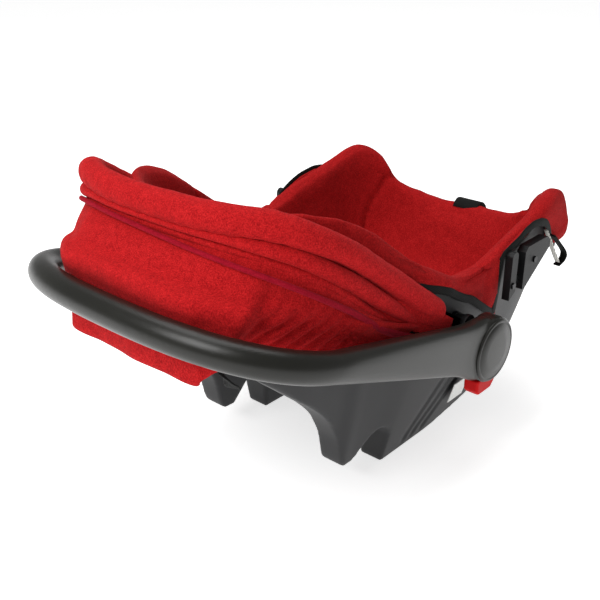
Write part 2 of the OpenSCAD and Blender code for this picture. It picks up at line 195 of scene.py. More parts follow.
def cut(obj, cutter):
    """Takes the cutter's volume out of obj."""
    applied(obj, "BOOLEAN", operation="DIFFERENCE", object=cutter, solver="EXACT")
    bpy.data.objects.remove(cutter)


def remesh(obj, voxel, smoothing):
    applied(obj, "REMESH", mode="VOXEL", voxel_size=voxel)
    if smoothing:
        applied(obj, "SMOOTH", factor=0.5, iterations=smoothing)
    return obj


def vertex_values(data, key="co"):
    """Each vertex's place or normal, as rows of three."""
    values = np.empty(len(data.vertices) * 3)
    data.vertices.foreach_get(key, values)
    return values.reshape(-1, 3)


def set_coordinates(obj, co):
    obj.data.vertices.foreach_set("co", np.asarray(co, float).ravel())
    obj.data.update()


def joined(objects):
    """One object out of several."""
    edit = bmesh.new()
    for obj in objects:
        edit.from_mesh(obj.data)
    edit.to_mesh(objects[0].data)
    edit.free()
    for obj in objects[1:]:
        bpy.data.objects.remove(obj)
    return objects[0]


def grid_normals(grid):
    """The normals of a grid of points that closes on itself along its columns."""
    across = np.gradient(grid, axis=0)
    along = (np.roll(grid, -1, 1) - np.roll(grid, 1, 1)) / 2
    return unit(np.cross(across, along))


def placed(obj, body, slot, *nodes):
    """Puts a finished piece on its body and in place of its CAD nodes."""
    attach(obj, body)
    if nodes:
        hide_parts(*nodes)
    return obj


CLOTH_FRAMES = 20


def puffed(obj, cap, voxel=0.005, pressure=4.0, spare=0.0):
    """Fills a closed fabric piece by a cloth simulation. No point moves further than cap."""
    remesh(obj, voxel, 2)
    start = vertex_values(obj.data)
    cloth = obj.modifiers.new("cloth", "CLOTH")
    settings = dict(quality=5, mass=0.2, tension_stiffness=12, compression_stiffness=12, shear_stiffness=6,
        bending_stiffness=0.3, use_pressure=True, uniform_pressure_force=pressure, shrink_min=-spare)
    for key, value in settings.items():
        setattr(cloth.settings, key, value)
    cloth.settings.effector_weights.gravity = 0
    cloth.point_cache.frame_start = 1
    cloth.point_cache.frame_end = CLOTH_FRAMES
    for number in range(CLOTH_FRAMES):
        bpy.context.scene.frame_set(number + 1)
    graph = bpy.context.evaluated_depsgraph_get()
    result = bpy.data.meshes.new_from_object(obj.evaluated_get(graph))
    moved = vertex_values(result) - start
    length = np.linalg.norm(moved, axis=1, keepdims=True)
    moved *= np.minimum(1, cap / np.maximum(length, 1e-9))
    obj.modifiers.clear()
    bpy.data.meshes.remove(result)
    bpy.context.scene.frame_set(1)
    set_coordinates(obj, start + moved)
    return applied(obj, "SUBSURF", levels=1, render_levels=1)


# ---- Materials ----


class Nodes:
    """A material's node tree, with short ways to add and join nodes."""

    def __init__(self, name):
        self.material = bpy.data.materials.new(name)
        self.material.use_nodes = True
        self.tree = self.material.node_tree
        self.shader = self.tree.nodes["Principled BSDF"]
        self.place = self.add("ShaderNodeTexCoord").outputs["Object"]

    def add(self, kind, **values):
        node = self.tree.nodes.new(kind)
        for key, value in values.items():
            setattr(node, key, value)
        return node

    def join(self, source, target):
        self.tree.links.new(source, target)

    def scaled(self, scale, turn=(0, 0, 0)):
        node = self.add("ShaderNodeMapping")
        node.inputs["Scale"].default_value = scale
        node.inputs["Rotation"].default_value = turn
        self.join(self.place, node.inputs["Vector"])
        return node.outputs["Vector"]

    def noise(self, scale, detail=2.0, vector=None, roughness=0.5):
        node = self.add("ShaderNodeTexNoise")
        node.inputs["Scale"].default_value = scale
        node.inputs["Detail"].default_value = detail
        node.inputs["Roughness"].default_value = roughness
        self.join(vector or self.place, node.inputs["Vector"])
        return node.outputs["Fac"]

    def wave(self, scale, direction, vector=None, distortion=0.0):
        node = self.add("ShaderNodeTexWave", bands_direction=direction)
        node.inputs["Scale"].default_value = scale
        node.inputs["Distortion"].default_value = distortion
        self.join(vector or self.place, node.inputs["Vector"])
        return node.outputs["Fac"]

    def maths(self, operation, a, b):
        node = self.add("ShaderNodeMath", operation=operation)
        for socket, value in zip(node.inputs, (a, b)):
            if isinstance(value, (int, float)):
                socket.default_value = value
            else:
                self.join(value, socket)
        return node.outputs[0]

    def ramp(self, factor, stops):
        node = self.add("ShaderNodeValToRGB")
        elements = node.color_ramp.elements
        while len(elements) < len(stops):
            elements.new(0.5)
        for element, (position, colour) in zip(elements, stops):
            element.position = position
            element.color = (*colour, 1)
        self.join(factor, node.inputs["Fac"])
        return node.outputs["Color"]

    def spread(self, factor, low, high):
        node = self.add("ShaderNodeMapRange")
        node.inputs["To Min"].default_value = low
        node.inputs["To Max"].default_value = high
        self.join(factor, node.inputs["Value"])
        return node.outputs["Result"]

    def bump(self, height, distance, strength=1.0, under=None):
        node = self.add("ShaderNodeBump")
        node.inputs["Distance"].default_value = distance
        node.inputs["Strength"].default_value = strength
        self.join(height, node.inputs["Height"])
        if under:
            self.join(under, node.inputs["Normal"])
        return node.outputs["Normal"]

    def finish(self, colour=None, roughness=None, normal=None, **values):
        for socket, link in (("Base Color", colour), ("Roughness", roughness), ("Normal", normal)):
            if link is not None:
                self.join(link, self.shader.inputs[socket])
        for key, value in values.items():
            self.shader.inputs[key.replace("_", " ")].default_value = value
        return self.material


def melange(name, dark, middle, light):
    """Heathered weave: two yarn colours that mix in short streaks, over a plain weave."""
    n = Nodes(name)
    streaks = n.noise(1150, 2, n.scaled((1, 1, 0.35)), 0.6)
    cross = n.noise(1150, 2, n.scaled((0.35, 0.35, 1.3)), 0.6)
    clouds = n.noise(120, 3)
    yarn = n.maths("ADD", n.maths("MULTIPLY", streaks, 0.52), n.maths("MULTIPLY", cross, 0.34))
    both = n.maths("ADD", yarn, n.maths("MULTIPLY", clouds, 0.14))
    colour = n.ramp(both, [(0.38, dark), (0.5, middle), (0.62, light)])
    weave = n.maths("MULTIPLY", n.wave(420, "Z"), n.wave(420, "DIAGONAL"))
    fuzz = n.bump(both, 0.0008, 0.5)
    normal = n.bump(weave, 0.0004, 0.5, fuzz)
    matt = dict(Sheen_Weight=0.02, Sheen_Roughness=0.5, Specular_IOR_Level=0.06)
    return n.finish(colour, n.spread(both, 0.8, 0.98), normal, **matt)


def moulded(name, colour, shine, grain=1300.0, glint=0.3):
    """Moulded plastic with a fine spark-eroded grain and faint handling wear."""
    n = Nodes(name)
    texture = n.noise(grain, 2)
    patches = n.noise(14, 3)
    tone = n.ramp(patches, [(0.3, [c * 0.9 for c in colour]), (0.7, [c * 1.12 for c in colour])])
    normal = n.bump(texture, 0.00025, 0.35)
    return n.finish(tone, n.spread(patches, shine - 0.04, shine + 0.05), normal, Specular_IOR_Level=glint)


def webbing(name, colour):
    """Woven tape: a twill rib with a slightly uneven yarn."""
    n = Nodes(name)
    rib = n.wave(260, "DIAGONAL")
    yarn = n.noise(900, 2)
    both = n.maths("ADD", n.maths("MULTIPLY", rib, 0.6), n.maths("MULTIPLY", yarn, 0.4))
    tone = n.ramp(both, [(0.3, [c * 0.55 for c in colour]), (0.7, [min(1, c * 1.35) for c in colour])])
    matt = dict(Sheen_Weight=0.02, Specular_IOR_Level=0.12)
    return n.finish(tone, n.spread(yarn, 0.6, 0.85), n.bump(both, 0.0005, 0.7), **matt)


def plated(name):
    """Blackened steel with fine brushing along X."""
    n = Nodes(name)
    lines = n.noise(900, 2, n.scaled((0.05, 1, 1)))
    tone = n.ramp(lines, [(0.3, (0.025, 0.025, 0.026)), (0.7, (0.05, 0.05, 0.052))])
    return n.finish(tone, n.spread(lines, 0.25, 0.45), n.bump(lines, 0.0001, 0.4), Metallic=1.0)


def beaded_foam(name):
    """Expanded foam: pale beads pressed together."""
    n = Nodes(name)
    cells = n.add("ShaderNodeTexVoronoi")
    cells.inputs["Scale"].default_value = 280
    n.join(n.place, cells.inputs["Vector"])
    beads = cells.outputs["Distance"]
    tone = n.ramp(beads, [(0.1, (0.86, 0.86, 0.85)), (0.7, (0.7, 0.7, 0.69))])
    return n.finish(tone, n.spread(beads, 0.6, 0.8), n.bump(beads, 0.0005))


def paper(name):
    """Blank printed-label stock with a faint fibre."""
    n = Nodes(name)
    fibre = n.noise(500, 4)
    tone = n.ramp(fibre, [(0.3, (0.74, 0.74, 0.72)), (0.7, (0.84, 0.84, 0.82))])
    return n.finish(tone, n.spread(fibre, 0.35, 0.5), n.bump(fibre, 0.00005, 0.5))


CANOPY_CLOTH = melange("canopy_cloth", (0.26, 0.004, 0.006), (0.47, 0.01, 0.012), (0.64, 0.02, 0.021))
CANOPY_LINING = melange("canopy_lining", (0.24, 0.003, 0.012), (0.33, 0.005, 0.018), (0.4, 0.01, 0.026))
SEAT_CLOTH = melange("seat_cloth", (0.23, 0.004, 0.005), (0.38, 0.008, 0.009), (0.52, 0.017, 0.017))
PAD_CLOTH = melange("pad_cloth", (0.1, 0.003, 0.006), (0.3, 0.01, 0.016), (0.45, 0.03, 0.035))
SHELL_PLASTIC = moulded("shell_moulding_plastic", (0.033, 0.033, 0.034), 0.5, glint=0.22)
HANDLE_PLASTIC = moulded("handle_satin_plastic", (0.012, 0.012, 0.0095), 0.3, 1700, 0.36)
BLACK_PLASTIC = moulded("black_moulded_plastic", (0.007, 0.007, 0.0075), 0.42, glint=0.2)
RED_PLASTIC = moulded("red_moulded_plastic", (0.55, 0.006, 0.007), 0.45, glint=0.08)
BLACK_TAPE = webbing("black_tape", (0.007, 0.0075, 0.007))
WHITE_TAPE = webbing("white_elastic", (0.62, 0.61, 0.57))
STEEL = plated("blackened_steel")
FOAM = beaded_foam("beaded_foam")
PAPER = paper("label_paper")

# ---- The seat's rings ----

# These tables are the CAD model's, apart from EDGE, which is drawn in by up to 12 mm at the foot end's
# lower corners. Half of the shell's rim, from the foot end's middle to the head end's middle
RIM = [(268, 0, 216), (260, 58, 218), (245, 108, 232), (240, 140, 256), (216, 163, 277), (172, 172, 276),
    (126, 174, 262), (78, 175, 249), (28, 173, 240), (-25, 170, 240), (-62, 167, 254), (-106, 161, 284),
    (-136, 156, 303), (-158, 152, 319), (-180, 147, 332), (-208, 140, 344), (-240, 127, 353),
    (-272, 98, 360), (-295, 53, 362), (-302, 0, 362)]
# The shell's lower outer edge, one point under each point of the rim
EDGE = [(240, 0, 160), (238, 50, 158), (222, 92, 135), (210, 112, 92), (190, 116, 50), (150, 116, 22),
    (105, 115, 11), (60, 115, 5), (10, 115, 0), (-40, 115, 0), (-87, 115, 0), (-120, 115, 16),
    (-148, 116, 32), (-166, 117, 37), (-178, 118, 82), (-205, 121, 124), (-258, 122, 172),
    (-318, 116, 222), (-346, 70, 244), (-352, 0, 248)]
# Height of the bowl's floor along its middle, as (x, z)
FLOOR = [(-330, 262), (-300, 235), (-225, 166), (-150, 104), (-60, 74), (60, 68), (120, 80), (190, 118),
    (235, 166), (270, 210)]
# Share of the way out, share of the way up, and how an inward offset moves a point
BOWL = [(0.12, 0, 0, 1), (0.45, 0, 0, 1), (0.66, 0.07, 0.3, 0.95), (0.82, 0.27, 0.7, 0.7),
    (0.92, 0.55, 0.95, 0.3), (0.98, 0.85, 1, 0.1), (1, 1, 1, 0)]
# Steps between two neighbouring points of RIM
STEPS = 10
# Thickness of the bowl and of the feet
SHELL_T, SKIRT_W = 4, 33
# How far the side walls bulge, and how near the bowl comes to them
WALL_BOW, WALL_T = 4, 4.5
# Each layer's lower and upper face, as heights over the bowl
LINER_GAP, LINER_T = 1, 9
COVER_LOW, COVER_TOP = 11, 18
# The line in the bowl's middle that its rings shrink to
SPINE_FOOT, SPINE_HEAD = 150, -250
# The cover bulges outwards at the foot end's corners
LOBE_AT, LOBE_SPREAD, LOBE_OUT = 3, 1.15, 24


def full_ring(half):
    """A ring round the seat from its left half."""
    return np.concatenate([half, half[-2:0:-1] * [1, -1, 1]])


def floor_z(x):
    """Height of the bowl's floor, with its bends eased."""
    xs, zs = np.array(FLOOR, float).T
    return sum(np.interp(np.asarray(x) + d, xs, zs) for d in (-16, -8, 0, 8, 16)) / 5


rim = full_ring(smooth(RIM, STEPS))
edge = full_ring(smooth(EDGE, STEPS))
edge[:, 2] = np.maximum(edge[:, 2], 0)
N = len(rim)
# Each ring point's place along RIM, from 0 at the foot end to 19 at the head end
station = np.minimum(np.arange(N), N - np.arange(N)) / STEPS
spine = np.stack([np.clip(rim[:, 0], SPINE_HEAD, SPINE_FOOT), 0 * station, 0 * station], -1)
out = unit((rim - spine) * [1, 1, 0])
lobe = bell(station - LOBE_AT, LOBE_SPREAD)[:, None]
UP = np.array([0, 0, 1.0])


def bowl_ring(r, off):
    """One ring of the bowl, from a row of BOWL, moved into the bowl by off."""
    lip = rim - out * SHELL_T / 2
    p = spine + (lip - spine) * r[0]
    base = floor_z(p[:, 0])
    p[:, 2] = base + (lip[:, 2] - base) * r[1]
    return p + off * (r[3] * UP - r[2] * out)


def wall_ring(share, off=0.0):
    """The side wall at a share of its height, moved outwards by off."""
    share = np.broadcast_to(share, station.shape)[:, None]
    top = rim + out * SHELL_T / 2
    return edge + (top - edge) * share + out * (WALL_BOW * np.sin(math.pi * share) + off)


def wall_at(z, off):
    """The side wall at height z, or straight above the rim, moved outwards by off."""
    share = np.clip((z - edge[:, 2]) / (rim[:, 2] - edge[:, 2]), 0, 1)
    p = wall_ring(share, off)
    p[:, 2] = z
    return p


def inside_wall(points, gap):
    """The points, drawn inwards where they come nearer than gap to the side wall."""
    room = ((wall_at(points[:, 2], -gap) - points) * out).sum(-1)
    return points + out * np.minimum(0, room)[:, None]


def rim_ring(off, rise):
    """The rim moved outwards by off and upwards by rise."""
    return rim + out * off + np.broadcast_to(rise, station.shape)[:, None] * UP


# ---- Shell ----

# The notch in each foot is round at its top and opens to the floor
NOTCH_MID = np.array([-107.0, 43.0])
NOTCH_R = 20
NOTCH_Y = (70, 150)
# Each groove in the side walls: its upper and its lower end, as (x, z)
GROOVES = [((12, 96), (-44, 8)), ((38, 88), (-26, 8)), ((60, 82), (-4, 8))]
# A groove's depth in metres, and its reach on its soft and on its sharp side
GROOVE_DEPTH, GROOVE_SOFT, GROOVE_SHARP = 0.0022, 9, 2.5


def notch_cutter(side):
    """A foot's notch, which slants towards the head end below its round top."""
    turns = np.radians(np.linspace(0, 135, 25))
    arc = NOTCH_MID + NOTCH_R * np.stack([np.cos(turns), np.sin(turns)], -1)
    foot = -10.0
    outline = np.concatenate([[(arc[-1, 0] - arc[-1, 1] + foot, foot), (arc[0, 0], foot)], arc])
    sections = [[(x, side * y, z) for x, z in outline] for y in NOTCH_Y]
    return tube("notch_cutter", sections, SHELL_PLASTIC)


def make_shell():
    """The shell, from the bowl over the rim to the side walls and feet."""
    foot_in = edge - out * SKIRT_W
    roof = foot_in.copy()
    roof[:, 2] = floor_z(roof[:, 0]) - SHELL_T - 1
    foot_in[:, 2] = np.minimum(edge[:, 2], roof[:, 2] - 1)
    bowl = [inside_wall(ring, WALL_T) for ring in smooth([bowl_ring(r, 0) for r in BOWL[:-1]], 3)]
    walls = [wall_ring(s) for s in np.linspace(0.95, 0.05, 14)]
    rings = bowl + [rim_ring(-SHELL_T / 2, 0), rim_ring(SHELL_T / 2, 0)] + walls + [edge, foot_in, roof]
    rings += [bowl_ring((0.3, 0, 0, 1), -SHELL_T - 1), bowl_ring(BOWL[0], -SHELL_T - 1)]
    shell = ring_solid("shell_moulding", rings, SHELL_PLASTIC)
    for side in SIDES.values():
        cut(shell, notch_cutter(side))
    remesh(shell, voxel=0.0024, smoothing=7)
    press_grooves(shell)
    applied(shell, "DECIMATE", ratio=0.45)
    placed(shell, "seat", "shell_plastic", "shell")


def press_grooves(shell):
    """Moves the outer faces of the side walls inwards along the grooves."""
    co, way = vertex_values(shell.data), vertex_values(shell.data, "normal")
    x, z = (co[:, 0] - HUB.x) * 1000, co[:, 2] * 1000
    # Points far out to a side that face sideways
    outer = (np.abs(co[:, 1]) > 0.1) & (np.abs(way[:, 1]) > 0.75)
    for top, bottom in GROOVES:
        line = np.subtract(bottom, top)
        length = np.linalg.norm(line)
        across = (x - top[0]) * line[1] / length - (z - top[1]) * line[0] / length
        along = ((x - top[0]) * line[0] + (z - top[1]) * line[1]) / length**2
        ends = np.clip(np.minimum(along, 1.05 - along) * 8, 0, 1)
        step = np.where(across > 0, bell(across, GROOVE_SOFT), bell(across, GROOVE_SHARP))
        co[:, 1] -= np.sign(co[:, 1]) * GROOVE_DEPTH * step * ends * outer
    set_coordinates(shell, co)


def make_liner():
    """The foam between the shell and the cover."""
    low = [inside_wall(bowl_ring(r, LINER_GAP), WALL_T + LINER_GAP) for r in BOWL[:-1]]
    high = [inside_wall(bowl_ring(r, LINER_T), WALL_T + LINER_T) for r in BOWL[-2::-1]]
    placed(ring_solid("foam_bowl_liner", high[::-1] + low[::-1], FOAM), "seat", "foam", "foam_liner")


# ---- Padded cover ----

# How far the padded crest stands above each point of the rim
CREST = [11, 11, 12, 22, 19, 14, 14, 17, 10, 9, 10, 10, 11, 12, 15, 18, 18, 14, 11, 10]
# Height of the cover's outer hem, against the place along the rim
HEM = [(0, 203), (1, 203), (2, 204), (3, 207), (4, 218), (4.4, 234), (4.8, 254), (5.2, 267), (5.6, 273),
    (6, 275), (6.6, 270), (7.1, 262), (7.6, 250), (7.7, 159), (8, 178), (8.5, 209), (9, 226), (9.6, 240),
    (10, 246), (11, 262), (12, 280), (13, 294), (14, 306), (15, 318), (16, 328), (17, 336), (19, 338)]
# Beside the hub a tongue of the cover leans towards the foot end, below this height
TONGUE_TOP, TONGUE_LEAN = 245, 0.57
TONGUE = [(7.5, 0), (7.6, 1), (7.7, 1), (8, 0.8), (8.5, 0.5), (9, 0)]
# The cover's stitched seams. Each has a path as (share of the rows, station), a width and a depth
SEAMS = [
    ([(0.12, 5), (0.25, 4.4), (0.28, 4.1), (0.33, 3.4), (0.45, 2.6), (0.62, 2.15)], 0.12, -5.0),
    ([(0.66, 3.15), (0.8, 3.5), (0.97, 4.7)], 0.07, -2.0),
    ([(0.6, 8.1), (0.98, 8.1)], 0.06, -2.2),
    ([(0.1, 12), (0.3, 12.3), (0.62, 12.6)], 0.1, -5.0),
]
# Half the width and half the thickness of the binding
BINDING_HALF_W, BINDING_HALF_T = 5.2, 1.7
crest = np.interp(station, np.arange(39) / 2, smooth(np.array(CREST, float)[:, None], 2)[:, 0])
hem = np.interp(station, *np.array(HEM, float).T)
tongue = np.interp(station, *np.array(TONGUE, float).T)
# The cover is half as thick round the rim where the canopy's hoops and rolls pass
lap = np.interp(station, (7, 9), (1, 0.5))[:, None]


def leaned(points):
    """The points, with those of the tongue moved towards the foot end."""
    p = np.array(points)
    p[:, 0] += TONGUE_LEAN * tongue * np.maximum(0, TONGUE_TOP - p[:, 2])
    return p


def cover_rows():
    """The visible rows, from the bowl's middle over the crest to the outer hem."""
    bowl = [bowl_ring(r, COVER_TOP) for r in BOWL[:-1]]
    top = [rim_ring(-COVER_TOP + 1, crest * 0.35), rim_ring(-10, crest * 0.85), rim_ring(-2, crest)]
    top.append(rim_ring(5 * lap, crest * 0.72) + out * lobe * LOBE_OUT * 0.4)
    shoulder = rim[:, 2] + crest * 0.5
    for share, swell in ((0.3, 0.75), (0.6, 1.0), (0.85, 0.9), (1, 0.55)):
        drop = shoulder + (hem - shoulder) * share
        top.append(leaned(wall_at(drop, 5.5 * lap) + out * lobe * LOBE_OUT * 1.15 * swell))
    return bowl + top


def seam(place, rows, path, width, depth):
    """How far a seam pushes the cover's points in."""
    share = np.linspace(0, 1, rows)[:, None]
    middle = np.interp(share, *np.array(path, float).T)
    inside = (share >= path[0][0]) & (share <= path[-1][0])
    return depth * bell(place - middle, width) * inside


def make_cover():
    """The padded cover, wrapped round the rim, with its binding."""
    grid = smooth(cover_rows(), 5)
    rows = len(grid)
    grid_way = grid_normals(grid)
    grid_way *= np.sign(grid_way[0, :, 2].mean())
    place = np.broadcast_to(station, grid.shape[:2])
    push = sum(seam(place, rows, *line) for line in SEAMS)
    push += 1.6 * waves(grid, 90, 3) + 0.5 * waves(grid, 30, 4)
    grid = grid + grid_way * push[..., None]
    lip = [leaned(wall_at(hem, 2.5) + out * lobe * 6)]
    lip.append(wall_at(np.maximum(hem, rim[:, 2] - 4), 1.0))
    under = [rim_ring(SHELL_T / 2 + 2, 2), rim_ring(-SHELL_T / 2 - 2, 2)]
    back = [bowl_ring(r, COVER_LOW) for r in BOWL[-2::-1]]
    cover = ring_solid("padded_cover", list(grid) + lip + under + back, SEAT_CLOTH)
    placed(cover, "seat", "seat_fabric", "seat_cover")
    make_binding(grid[-1])


def make_binding(line):
    """The black elastic band sewn round the cover's hem."""
    path = (line + np.roll(line, 1, 0) + np.roll(line, -1, 0)) / 3 + out * 0.6
    ahead = unit(np.roll(path, -1, 0) - np.roll(path, 1, 0))
    wide = unit(np.cross(ahead, out))
    wide *= np.sign(wide[:, 2:].mean())
    thick = unit(np.cross(wide, ahead))
    thick *= np.sign((thick * out).sum(-1, keepdims=True))
    sides = 12
    turn = circle(sides)
    flat = np.stack([squared(np.cos(turn), 0.6) * BINDING_HALF_W, np.sin(turn) * BINDING_HALF_T], -1)
    points = path[:, None] + flat[:, :1] * wide[:, None] + flat[:, 1:] * thick[:, None]
    last = (N - 1) * sides
    closing = [(last + k, last + (k + 1) % sides, (k + 1) % sides, k) for k in range(sides)]
    faces = grid_faces(N, sides, True) + closing
    binding = mesh("cover_binding", points.reshape(-1, 3), faces, BLACK_TAPE)
    placed(binding, "seat", "webbing")


# ---- Canopy ----


def bow(start, corner, reach, half_w, power, count):
    """A U in its own plane, as (along, across), from the right side to the left side."""
    turn = np.radians(np.linspace(0, 90, 60))
    bend = np.stack([
        corner + (reach - corner) * np.sin(turn) ** (2 / power), -half_w * np.cos(turn) ** (2 / power)], -1)
    half = np.concatenate([[(start, -half_w)], bend])
    return evenly(np.concatenate([half, half[-2::-1] * [1, -1]]), count)


def line_normal(line):
    """The normals of a flat line, in its own plane."""
    d = unit(np.gradient(line, axis=0))
    return np.stack([-d[:, 1], d[:, 0]], -1)


def lifted(along, across, rise, degrees, x0=PIVOT_X, z0=PIVOT_Z):
    """Points of a U's plane in space, raised by degrees from -X about a hinge."""
    a = np.radians(degrees)
    along, across, rise, a = np.broadcast_arrays(along, across, rise, a)
    return np.stack([x0 - along * np.cos(a) + rise * np.sin(a), across,
        z0 + along * np.sin(a) + rise * np.cos(a)], -1)


# Each roll's angle and radius, at these distances out from the pivots
ROLL_AT = (60, 150, 220, 270, 310, 335, 350, 358)
ROLLS = {
    "front": dict(half_w=169, angle=(32.2, 35.4, 35.7, 35.4, 34.7, 34.1, 32.7, 31.7),
        radius=(15.5, 14.5, 13.6, 13.8, 14.4, 15.4, 15, 15)),
    "mid": dict(half_w=171, angle=(16.4, 26.4, 29.6, 30.5, 30.9, 30.3, 29.8, 29.1),
        radius=(4, 9, 9.6, 9.2, 8.6, 8, 5, 4)),
    "rear": dict(half_w=164, reach=352, angle=(10, 20.3, 26, 27.9, 28.6, 28.6, 28.2, 27.6),
        radius=(4, 6, 6.6, 6.4, 6, 5.2, 4.4, 4)),
    "piping": dict(half_w=175, reach=359, angle=(7, 17.2, 23.8, 25.9, 27, 27.3, 27.3, 27.2),
        radius=(3, 5, 3.8, 3.2, 3, 2.8, 2.6, 2.6)),
}
# The piping lies higher on the left side than on the right, by this many degrees a millimetre
PIPING_TILT = 0.009
ROLL_REACH = 358
ROLL_CORNER = 216
ROLL_POWER = 3.2
# Distance between a roll's rings
ROLL_STEP = 3.4
PUCKER_PITCH = {"roll": 15, "panel": 13}
# A hoop's flat section, as (thickness, width)
HOOP_SECTION = [(1.2, -3), (1.2, 3), (0.2, 4), (-0.2, 4), (-1.2, 3), (-1.2, -3), (-0.2, -4), (0.2, -4)]
# A hoop's legs lean towards HOOP_END_Y over their last HOOP_LEAN before the pivots
HOOP_END_Y = {"front": 178, "mid": 175, "rear": 172}
HOOP_LEG_Y, HOOP_LEAN = 160, 90
# Near the pivots, at the distances PASS_AT, the canopy's legs keep at least PASS_Y from the middle, to
# pass the cover and the shell. Each hoop has its own small difference from that
PASS_AT, PASS_Y = (0, 80, 130, 180, 230), (180, 180, 172, 162, 0)
PASS_LEGS_Y = 60
HOOP_SPREAD = {"front": -1, "mid": -1, "rear": 0.5}


def passing(points, extra=0.0):
    """The points, drawn sideways past the cover and the shell near the pivots."""
    p = np.array(points)
    far = np.hypot(p[..., 0] - PIVOT_X, p[..., 2] - PIVOT_Z)
    room = np.interp(far, PASS_AT, PASS_Y) + extra
    beside = np.abs(p[..., 1])
    passed = np.sign(p[..., 1]) * np.maximum(beside, room)
    p[..., 1] = np.where(beside > PASS_LEGS_Y, passed, p[..., 1])
    return p


def roll_line(name, start, count):
    """A roll's middle line in its own plane, with its angle and its radius along it."""
    roll = ROLLS[name]
    line = bow(start, ROLL_CORNER, roll.get("reach", ROLL_REACH), roll["half_w"], ROLL_POWER, count)
    angle = eased(np.interp(line[:, 0], ROLL_AT, roll["angle"]))
    if name == "piping":
        angle += PIPING_TILT * line[:, 1] * np.clip(line[:, 0] / ROLL_REACH, 0, 1)
    return line, angle, eased(np.interp(line[:, 0], ROLL_AT, roll["radius"]))


def eased(values):
    """The values with their sudden changes rounded off."""
    share = np.hanning(17)[1:-1]
    return np.convolve(np.pad(values, 7, "edge"), share / share.sum(), "valid")


def make_roll(name, start, body, material, *nodes):
    """A rolled fold of the canopy's cloth, with round ends and soft gathers."""
    count, sides = 190, 26
    line, angle, radius = roll_line(name, start, count)
    way = line_normal(line)
    end = np.minimum(np.arange(count), np.arange(count)[::-1]) * ROLL_STEP
    tip = np.sqrt(1 - (1 - np.clip((end + 0.6) / radius, 0.02, 1)) ** 2)
    size = (radius * tip)[:, None]
    turn = circle(sides)
    along = line[:, :1] + way[:, :1] * size * np.cos(turn)
    across = line[:, 1:] + way[:, 1:] * size * np.cos(turn)
    rings = lifted(along, across, size * np.sin(turn), angle[:, None])
    middle = rings.mean(1, keepdims=True)
    gathers = waves(rings * [1, 1, 0.3], 46, 11) * 0.03 + waves(rings, 19, 12) * 0.015
    rings = middle + (rings - middle) * (1 + gathers[..., None])
    if name in ("mid", "rear"):
        rings = passing(rings)
    if name == "front":
        run = np.arange(count)[:, None] * ROLL_STEP
        pinch = np.clip(-np.sin(turn), 0, 1) ** 2 * np.clip((line[:, :1] - 300) / 40, 0, 1)
        pucker = 0.09 * pinch * puckers(run, PUCKER_PITCH["roll"])
        rings = middle + (rings - middle) * (1 + pucker[..., None])
    roll = tube("canopy_roll_" + name, rings, material)
    if name == "front":
        puffed(roll, cap=0.004, pressure=3.0, spare=0.02)
    placed(roll, body, "canopy_fabric", *nodes)


def make_hoop(name):
    """The flat plastic hoop inside a roll, down to its pivot."""
    line, angle, _ = roll_line(name, 8, 120)
    way = line_normal(line)
    thick, wide = np.array(HOOP_SECTION, float).T
    beside, end_y = np.abs(line[:, 1]), HOOP_END_Y[name]
    leant = end_y + (beside - end_y) * np.clip(line[:, 0] / HOOP_LEAN, 0, 1)
    across = np.where(beside > HOOP_LEG_Y, np.sign(line[:, 1]) * leant, line[:, 1])[:, None]
    rings = lifted(line[:, :1] + way[:, :1] * thick, across + way[:, 1:] * thick, wide, angle[:, None])
    hoop = tube("canopy_hoop_" + name, passing(rings, HOOP_SPREAD[name]), BLACK_PLASTIC)
    placed(hoop, "canopy_" + name, "black_plastic", "hoop_" + name)


def sheet_mesh(name, grid, material, thick=1.2):
    """A thin closed sheet with two faces, from a grid of points."""
    rows, cols = grid.shape[:2]
    piece = mesh(name, grid.reshape(-1, 3), grid_faces(rows, cols, False), material)
    return applied(piece, "SOLIDIFY", thickness=thick / 1000, offset=0.0)


def weighted(piece, weight):
    """Bakes a panel's place into its mesh. Its weight, a share for each point, is not used."""
    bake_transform(piece)


def nearest_share(piece, grid, share):
    """The share of the nearest grid point, for each point of a piece made from that grid."""
    co = vertex_values(piece.data)
    points = row(grid).reshape(-1, 3)
    flat = np.broadcast_to(share, grid.shape[:2]).reshape(-1)
    found = np.empty(len(co))
    for i in range(0, len(co), 500):
        gap = ((co[i : i + 500, None] - points[None]) ** 2).sum(-1)
        found[i : i + 500] = flat[gap.argmin(1)]
    return found


def make_fan(name, low, high):
    """The canopy panel between two rolls. It opens like a fan about the pivots."""
    count, rows = 150, 13
    a_line, a_angle, _ = roll_line(low, 34, count)
    b_line, b_angle, _ = roll_line(high, 34, count)
    share = np.linspace(0, 1, rows)[:, None]
    along = a_line[:, 0] * (1 - share) + b_line[:, 0] * share
    across = a_line[:, 1] * (1 - share) + b_line[:, 1] * share
    angle = a_angle * (1 - share) + b_angle * share
    tuck = 1 - 0.022 * np.sin(math.pi * share)
    run = np.concatenate([[0], np.cumsum(np.linalg.norm(np.diff(b_line, axis=0), axis=1))])
    pucker = puckers(run, PUCKER_PITCH["panel"]) * (1.6 * share**5 + 0.8 * (1 - share) ** 5)
    grid = passing(lifted(along * tuck, across * tuck, pucker, angle), 1.0)
    piece = sheet_mesh("canopy_panel_" + name, grid, CANOPY_CLOTH)
    weighted(piece, nearest_share(piece, grid, share))


